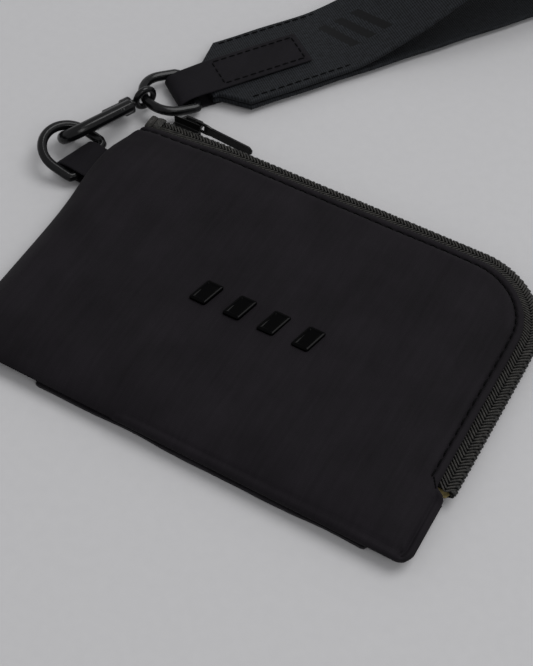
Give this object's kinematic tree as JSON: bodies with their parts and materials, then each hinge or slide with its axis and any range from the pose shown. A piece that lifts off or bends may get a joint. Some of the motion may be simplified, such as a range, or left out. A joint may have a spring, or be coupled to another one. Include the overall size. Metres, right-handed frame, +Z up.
{
  "type": "zippered pouch",
  "caption": "Flat zippered card and key pouch with a side tab, D-ring, swivel snap hook and a folded webbing wrist strap.",
  "frame": {"origin": "centre of the flat underside of the rear pocket, where the pouch lies", "axes": "+X along the long zip edge away from the snap hook, +Y towards the zip edge, +Z up out of the front panel"},
  "size_m": [0.1328, 0.2047, 0.0286],
  "materials": {
    "nylon_fabric": "matte woven nylon",
    "lining": "thin plain-weave lining",
    "zip_tape": "herringbone tape",
    "zip_coil": "satin nylon coil",
    "webbing": "ribbed webbing",
    "slider_metal": "satin black",
    "black_metal": "semi-gloss black",
    "badge_gloss": "gloss black"
  },
  "bodies": {
    "root": {"back_panel": "nylon_fabric", "rear_pocket": "nylon_fabric", "lining_back": "lining", "zip_tape_front": "zip_tape", "zip_tape_back": "zip_tape", "zip_coil_front": "zip_coil", "zip_coil_back": "zip_coil", "zip_start_stop_front": "zip_coil", "zip_start_stop_back": "zip_coil", "zip_end_stop": "zip_coil", "side_tab": "nylon_fabric"},
    "front": {"front_panel": "nylon_fabric", "lining_front": "lining", "badge_plate_1": "badge_gloss", "badge_plate_2": "badge_gloss", "badge_plate_3": "badge_gloss", "badge_plate_4": "badge_gloss"},
    "slider": {"slider_body": "slider_metal", "slider_bridge": "slider_metal"},
    "pull": {"pull_tab": "slider_metal"},
    "pouch_ring": {"pouch_ring": "black_metal"},
    "hook": {"hook_body": "black_metal", "gate_rivet": "black_metal"},
    "gate": {"hook_gate": "black_metal"},
    "swivel": {"swivel_eye": "black_metal"},
    "strap_ring": {"strap_ring": "black_metal"},
    "strap": {"strap_tab": "nylon_fabric", "webbing_strap": "webbing"}
  },
  "joints": [
    {"name": "slider_travel", "type": "slide", "parent": "root", "child": "slider", "axis": [1, 0, 0], "range_m": [0, 0.074]},
    {"name": "mouth_open", "type": "hinge", "parent": "root", "child": "front", "pos_m": [0, -0.041, 0.00375], "axis": [1, 0, 0], "range_deg": [0, 14]},
    {"name": "pull_swing", "type": "hinge", "parent": "slider", "child": "pull", "pos_m": [-0.0435, 0.0433, 0.00375], "axis": [0, 0, 1], "range_deg": [0, 45]},
    {"name": "pouch_ring_swing", "type": "hinge", "parent": "root", "child": "pouch_ring", "pos_m": [-0.0623, 0.0202, 0.0025], "axis": [0, 1, 0], "range_deg": [-12, 6]},
    {"name": "hook_swing", "type": "hinge", "parent": "pouch_ring", "child": "hook", "pos_m": [-0.0682, 0.0272, 0.00442], "axis": [0.9511, 0, -0.309], "range_deg": [0, 25]},
    {"name": "gate_open", "type": "hinge", "parent": "hook", "child": "gate", "pos_m": [-0.06821, 0.03405, 0.00179], "axis": [-0.646, 0.2876, 0.7071], "range_deg": [0, 10], "stiffness_Nm_per_rad": 0.01, "springref_deg": -17.19},
    {"name": "swivel_turn", "type": "hinge", "parent": "hook", "child": "swivel", "pos_m": [-0.06044, 0.04438, 0.00469], "axis": [0.4067, 0.9135, 0], "range_deg": [-25, 25]},
    {"name": "strap_ring_swing", "type": "hinge", "parent": "swivel", "child": "strap_ring", "pos_m": [-0.06044, 0.04438, 0.00469], "axis": [0.8151, -0.5793, 0], "range_deg": [0, 25]},
    {"name": "strap_swing", "type": "hinge", "parent": "strap_ring", "child": "strap", "pos_m": [-0.0536, 0.054, 0.0025], "axis": [0.8151, -0.5793, 0], "range_deg": [0, 30]}
  ],
  "couplings": [
    {"joint": "mouth_open", "follows": "slider_travel", "rad_per_m": 3.3}
  ]
}
